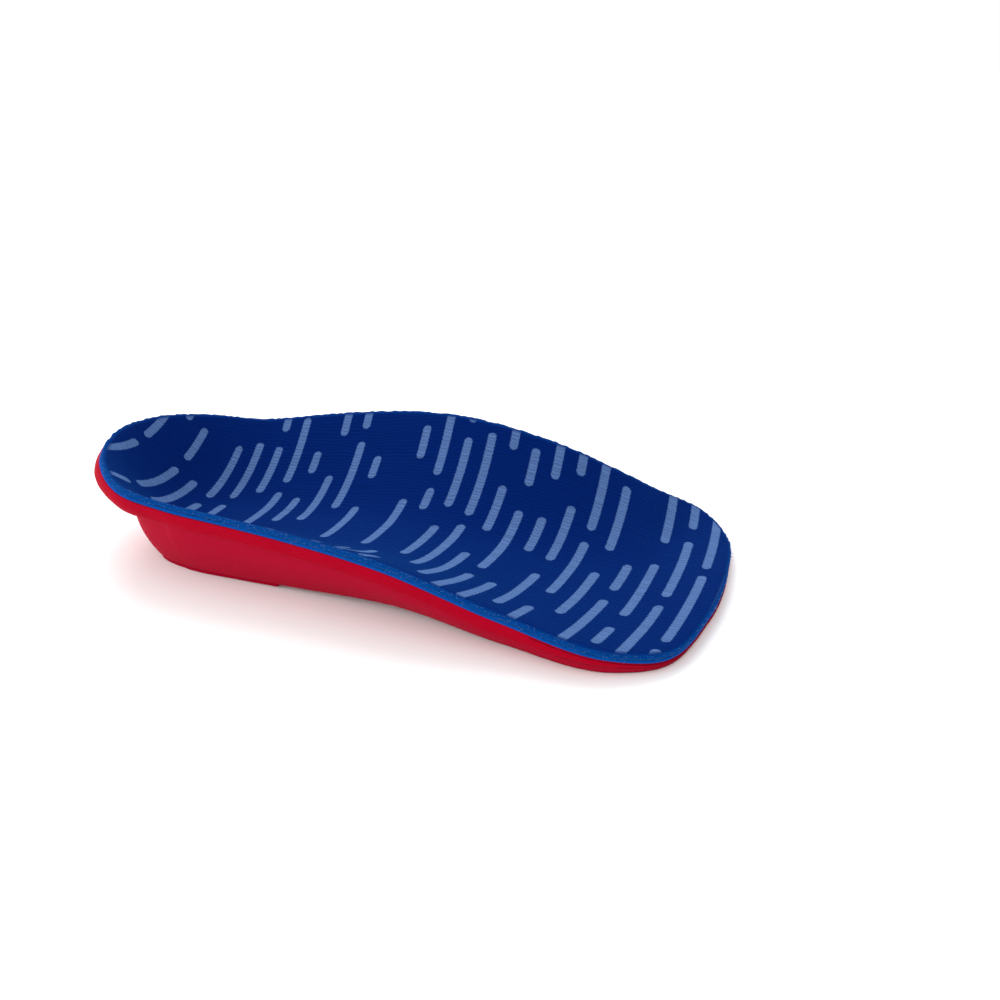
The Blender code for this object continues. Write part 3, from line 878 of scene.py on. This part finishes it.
class MakeCover(bpy.types.Operator):
    """Make the printed knit cover with the loose fibres along its cut edge"""

    bl_idname = "insole.make_cover"
    bl_label = "Knit cover"

    def execute(self, context):
        knit = context.scene.insole_knit
        finish = knit_finish(context.scene.insole_print, knit)
        face = [FootbedRing(reach) for reach in ring_reaches(COVER_RINGS)]
        cloth = cloth_rows(face)
        for ring in face:
            ring.place[:, 2] += self.ripple(ring.place)
        rings = [ring.place for ring in face]
        edge = face[-1]
        bumps = np.random.default_rng(SEED).uniform(0.0, EDGE_BUMP, (len(RAYS), 1))
        edge.place[:, 2:] += bumps
        for share in np.linspace(0.0, 1.0, WRAP_STEPS + 1)[1:]:
            bulge = WRAP_BULGE * math.sin(math.pi * share ** 0.7) + bumps * (1 - share)
            rings.append(edge.sunk(COVER_WRAP * share) - INWARD * bulge)
            cloth.append(cloth[-1] * (1, 1, 0) - INWARD * (1, 1, 0) * COVER_WRAP / WRAP_STEPS)
            cloth[-1][:, 2] = -COVER_WRAP * share
        rings.append(edge.sunk(COVER_WRAP) + INWARD * COVER_THICKNESS)
        under = [FootbedRing(reach) for reach in ring_reaches(HIDDEN_RINGS)[::-1]]
        rings += [ring.sunk(COVER_THICKNESS) for ring in under[1:]]
        spine_cloth = np.column_stack([SPINE_TOP[:, :2], REACH_LENGTH[:len(SPINE)]])
        cut = cloth[-1] - (0, 0, COVER_THICKNESS)
        hidden = len(rings) - len(cloth)
        values = np.vstack([spine_cloth, *cloth, *[cut] * hidden, spine_cloth])
        lift = np.array([0.0, 0.0, 1.0]) * self.ripple(SPINE_TOP)[:, None]
        mesh = closed_mesh(
            "knit_cover", SPINE_TOP + lift, rings, SPINE_TOP - SPINE_NORMAL * COVER_THICKNESS,
            attribute=("cloth", values),
        )
        cover = add_piece(context, "knit_cover", mesh, finish, "printed_knit", "top_cover")
        fibres = self.add_fibres(context, edge, knit)
        self.face_area(mesh)
        return {"FINISHED"}

    @staticmethod
    def ripple(places):
        """Slight waviness of the bonded cloth, in millimetres."""
        return np.array([RIPPLE * noise.noise(Vector(p) * RIPPLE_PACE) for p in places.tolist()])

    @staticmethod
    def face_area(mesh):
        """Area of the cover's face in square metres: half of all its surface."""
        return sum(face.area for face in mesh.polygons) / 2

    @staticmethod
    def add_fibres(context, edge, knit):
        """Tapered fibres that stand out of the cut edge."""
        draw = np.random.default_rng(SEED)
        count = len(RAYS)
        points, faces = [], []
        for _ in range(knit.fibres):
            ray = draw.uniform(0, count)
            first, share = int(ray), ray % 1.0
            second = (first + 1) % count
            base_ring = edge.sunk(COVER_WRAP * draw.uniform(0.0, 1.0))
            start = between(base_ring[first], base_ring[second], share)
            outward = Vector(-INWARD[first])
            up = Vector(edge.normal[first])
            along = outward.cross(up)
            rise, turn = draw.normal(RISE_SPREAD, RISE_SPREAD), draw.normal(0.0, TURN_SPREAD)
            heading = (outward + up * rise + along * turn).normalized()
            rise, turn = draw.normal(0.0, CURL_SPREAD), draw.normal(0.0, CURL_SPREAD)
            curl = (up * rise + along * turn) * FIBRE_CURL
            length = FIBRE_LENGTH + FIBRE_LONGER * draw.random() ** 2
            thick = draw.uniform(*FIBRE_RADII)
            base = len(points)
            place = Vector(start) - outward * FIBRE_ROOT
            for joint in range(FIBRE_JOINTS):
                t = joint / (FIBRE_JOINTS - 1)
                middle = place + heading * length * t + curl * length * t * t
                radius = thick * (1 - FIBRE_TAPER * t)
                for side in range(FIBRE_SIDES):
                    angle = 2 * math.pi * side / FIBRE_SIDES
                    points.append(middle + (along * math.cos(angle) + up * math.sin(angle)) * radius)
            tip = base + (FIBRE_JOINTS - 1) * FIBRE_SIDES
            for first_point in range(base, tip, FIBRE_SIDES):
                faces += between_rings(first_point, first_point + FIBRE_SIDES, FIBRE_SIDES)
            faces.append([base + side for side in range(FIBRE_SIDES)])
            faces.append([tip + side for side in reversed(range(FIBRE_SIDES))])
        mesh = bpy.data.meshes.new("edge_fibres")
        mesh.from_pydata((np.array(points) * MM + ORIGIN).tolist(), [], faces)
        mesh.shade_smooth()
        return add_piece(context, "edge_fibres", mesh, fibre_finish(knit), "printed_knit")


class MakeFoam(bpy.types.Operator):
    """Make the cushion foam between the cover and the shell"""

    bl_idname = "insole.make_foam"
    bl_label = "Cushion foam"

    def execute(self, context):
        finish = foam_finish(context.scene.insole_foams)
        top = COVER_THICKNESS + BOND
        rows = [FootbedRing(reach) for reach in ring_reaches(HIDDEN_RINGS)]
        edge = rows[-1]
        rings = [ring.sunk(top) for ring in rows[:-1]]
        rings.append(edge.sunk(COVER_WRAP + BOND) + INWARD * (COVER_THICKNESS + 2 * BOND))
        for share in FOAM_EDGE_SHARES:
            bulge = FOAM_BULGE * math.sin(math.pi * between(0.1, 0.9, share))
            place = between(edge.sunk(COVER_WRAP + BOND), edge.on_shell(BOND), share)
            rings.append(place - INWARD * bulge)
        rings += [ring.on_shell(BOND) for ring in rows[::-1]]
        under = SPINE_TOP - SPINE_NORMAL * (SHELL_DEPTH - BOND)
        mesh = closed_mesh("foam_layer", SPINE_TOP - SPINE_NORMAL * top, rings, under)
        foam = add_piece(context, "foam_layer", mesh, finish, "blue_foam", "cushion_foam")
        return {"FINISHED"}


class MakeShell(bpy.types.Operator):
    """Make the moulded shell with its edge band, heel cup and arch flange"""

    bl_idname = "insole.make_shell"
    bl_label = "Moulded shell"

    def execute(self, context):
        foams = context.scene.insole_foams
        finish = moulded_finish("red_eva", foams.shell, foams.lower_side_reflection, SHELL_GRAIN)
        rings = [FootbedRing(reach).on_shell() for reach in ring_reaches(HIDDEN_RINGS)]
        top = rings.pop()
        bands, crease, shoulder, sides = side_profile(top)
        radius = foams.edge_round / MM
        under = []
        for t in np.linspace(1.0, 0.0, HIDDEN_RINGS, endpoint=False)[1:]:
            middle = SPINE_UNDER[SPOKES]
            place = between(middle, UNDER_EDGE, t)
            place[:, 2] = between(middle[:, 2], UNDER_EDGE[:, 2], t ** 2)
            under.append(place)
        upper = rings + round_corner(rings[-1], top, bands[0], radius) + bands + crease[:1]
        lower = crease[1:] + shoulder + sides
        lower += round_corner(sides[-1], UNDER_EDGE, under[0], radius) + under
        above_crease = len(SPINE) + len(upper) * len(RAYS)
        below_crease = len(SPINE) + len(lower) * len(RAYS)
        # Mask of the painted floor reflection: 0 on the edge band and above, 1 on the lower side and
        # underside.
        painted_reflection_mask = np.repeat([0.0, 1.0], [above_crease, below_crease])
        mesh = closed_mesh(
            "moulded_shell", SPINE_TOP - SPINE_NORMAL * SHELL_DEPTH, upper + lower, SPINE_UNDER,
            attribute=("side", np.outer(painted_reflection_mask, (1.0, 0.0, 0.0))),
        )
        add_piece(context, "moulded_shell", mesh, finish, "red_eva", "base_shell")
        return {"FINISHED"}


class MakePad(bpy.types.Operator):
    """Make the pad under the heel"""

    bl_idname = "insole.make_pad"
    bl_label = "Heel pad"

    def execute(self, context):
        foams = context.scene.insole_foams
        finish = moulded_finish("red_eva_pad", foams.pad, foams.pad, PAD_GRAIN)
        outline = self.outline()
        middle = outline.mean(axis=0)
        levels = ((1.0, PAD_TOP - BOND), (0.0, PAD_TOP - BOND), *PAD_EDGE, (1.0, 0.0))
        forward = (outline[:, :1] - HEEL_CUP_X) / (POST_LATERAL_LENGTH - HEEL_CUP_X)
        inward = unit(middle - outline) * (1 + FRONT_SOFTNESS * np.clip(forward, 0.0, 1.0))
        rings = []
        for inset, height in levels:
            place = outline + inward * inset
            rings.append(np.column_stack([place, np.full(len(place), height)]))
        top = np.array([[*middle, PAD_TOP - BOND]])
        bottom = np.array([[*middle, 0.0]])
        mesh = closed_mesh("heel_pad", top, rings, bottom, spokes=[0] * PAD_POINTS)
        add_piece(context, "heel_pad", mesh, finish, "red_eva_pad", "heel_post")
        return {"FINISHED"}

    @staticmethod
    def edge_point(row, x):
        """Where the pad's edge lies below a row of the rim, seen from the valley at distance x."""
        middle = valley([x])[0]
        towards = unit(np.array([middle.x, middle.y]) - row[:2])
        return row[:2] + towards * (row[3] + POST_MARGIN)

    def edge_points(self, side, start, end, count):
        return [self.edge_point(at_x(side, x), x) for x in np.linspace(start, end, count)]

    def outline(self):
        """Outline of the pad: the flat under the heel, closed by a bowed front edge."""
        lateral, _, medial, heel = rim_ring()
        places = self.edge_points(medial, POST_MEDIAL_LENGTH, HEEL_CUP_X, PAD_MEDIAL_POINTS)
        places += [self.edge_point(row, HEEL_CUP_X) for row in even_rows(heel, HEEL_RAYS)[1:-1]]
        places += self.edge_points(lateral, HEEL_CUP_X, POST_LATERAL_LENGTH, PAD_LATERAL_POINTS)
        start, end = places[-1], places[0]
        bow = (start + end) / 2 + (POST_FRONT_BOW, 0.0)
        for t in np.linspace(0.0, 1.0, PAD_FRONT_POINTS)[1:]:
            places.append(start * (1 - t) ** 2 + bow * 2 * t * (1 - t) + end * t ** 2)
        return even_rows(np.array(places), PAD_POINTS + 1)[:-1]


# ------------------------------------------------------------------ stage

FLOOR_HALF = 40.0           # metres
SKY_STRENGTH = 1.06

Softbox = namedtuple("Softbox", "name place size power")    # metres and watts
SOFTBOXES = (
    Softbox("softbox_above", (-0.35, 0.7, 0.8), 0.9, 7.8),
    Softbox("softbox_heel", (-0.95, -0.5, 0.45), 0.7, 4.5),
)

CAMERA_AZIMUTH = 14.4
CAMERA_ELEVATION = 27.2
CAMERA_TARGET = (-1.2, 1.6, 9.1)
CAMERA_DISTANCE = 269.1
CAMERA_SHIFT = (27.9, 7.3)  # to the right and up
CAMERA_LENS = 35.64


class MakeStage(bpy.types.Operator):
    """Make the white floor, the soft studio light and the camera"""

    bl_idname = "insole.make_stage"
    bl_label = "Studio stage"

    def execute(self, context):
        self.add_floor(context)
        self.add_world(context)
        for softbox in SOFTBOXES:
            self.add_softbox(context, *softbox)
        self.add_camera(context)
        context.scene.view_settings.view_transform = "Standard"
        return {"FINISHED"}

    @staticmethod
    def add_floor(context):
        turns = ((-1, -1), (1, -1), (1, 1), (-1, 1))
        corners = [(FLOOR_HALF * x, FLOOR_HALF * y, 0.0) for x, y in turns]
        mesh = bpy.data.meshes.new("studio_floor")
        mesh.from_pydata(corners, [], [(0, 1, 2, 3)])
        floor = bpy.data.objects.new("studio_floor", mesh)
        finish = Finish("white_sweep", Roughness=0.9)
        finish.plug(finish.shader.inputs["Base Color"], (0.95, 0.95, 0.95, 1.0))
        finish.plug(finish.shader.inputs["Specular IOR Level"], 0.1)
        mesh.materials.append(finish.material)
        context.scene.collection.objects.link(floor)

    @staticmethod
    def add_world(context):
        world = bpy.data.worlds.new("studio")
        world.use_nodes = True
        sky = world.node_tree.nodes["Background"]
        sky.inputs["Color"].default_value = (1.0, 1.0, 1.0, 1.0)
        sky.inputs["Strength"].default_value = SKY_STRENGTH
        context.scene.world = world

    @staticmethod
    def add_softbox(context, name, place, size, power):
        lamp = bpy.data.lights.new(name, "AREA")
        lamp.shape = "DISK"
        lamp.size = size
        lamp.energy = power
        softbox = bpy.data.objects.new(name, lamp)
        softbox.location = place
        softbox.rotation_euler = Vector(place).to_track_quat("Z", "Y").to_euler()
        context.scene.collection.objects.link(softbox)

    @staticmethod
    def add_camera(context):
        """A camera at the lateral side, above the heel's level, with a level horizon."""
        azimuth, elevation = math.radians(CAMERA_AZIMUTH), math.radians(CAMERA_ELEVATION)
        back = Vector((
            math.sin(azimuth) * math.cos(elevation),
            -math.cos(azimuth) * math.cos(elevation),
            math.sin(elevation),
        ))
        right = Vector((math.cos(azimuth), math.sin(azimuth), 0.0))
        up = back.cross(right)
        sideways, upwards = CAMERA_SHIFT
        eye = Vector(CAMERA_TARGET) + back * CAMERA_DISTANCE + right * sideways + up * upwards
        data = bpy.data.cameras.new("camera")
        data.lens = CAMERA_LENS
        data.clip_start = 0.01
        camera = bpy.data.objects.new("camera", data)
        turn = Matrix((right, up, back)).transposed().to_4x4()
        camera.matrix_world = Matrix.Translation(eye * MM) @ turn
        context.scene.collection.objects.link(camera)
        context.scene.camera = camera


class InsolePanel(bpy.types.Panel):
    """The insole's sizes, colours and pieces"""

    bl_idname = "VIEW3D_PT_insole"
    bl_label = "Cushioned insole"
    bl_space_type = "VIEW_3D"
    bl_region_type = "UI"
    bl_category = "Insole"

    def draw(self, context):
        layout = self.layout
        for group in (context.scene.insole_print, context.scene.insole_knit, context.scene.insole_foams):
            box = layout.box()
            for name in group.__annotations__:
                box.prop(group, name)
        for operator in MAKERS:
            layout.operator(operator.bl_idname)


GROUPS = {"insole_print": InsolePrint, "insole_knit": InsoleKnit, "insole_foams": InsoleFoams}
MAKERS = (MakeStage, MakeShell, MakePad, MakeFoam, MakeCover)


def register():
    for cls in (*GROUPS.values(), *MAKERS, InsolePanel):
        bpy.utils.register_class(cls)
    for name, group in GROUPS.items():
        setattr(bpy.types.Scene, name, PointerProperty(type=group))


def unregister():
    for name in GROUPS:
        delattr(bpy.types.Scene, name)
    for cls in reversed((*GROUPS.values(), *MAKERS, InsolePanel)):
        bpy.utils.unregister_class(cls)


def main():
    register()
    bpy.ops.insole.make_stage()
    bpy.ops.insole.make_shell()
    bpy.ops.insole.make_pad()
    bpy.ops.insole.make_foam()
    bpy.ops.insole.make_cover()


if __name__ == "__main__":
    main()
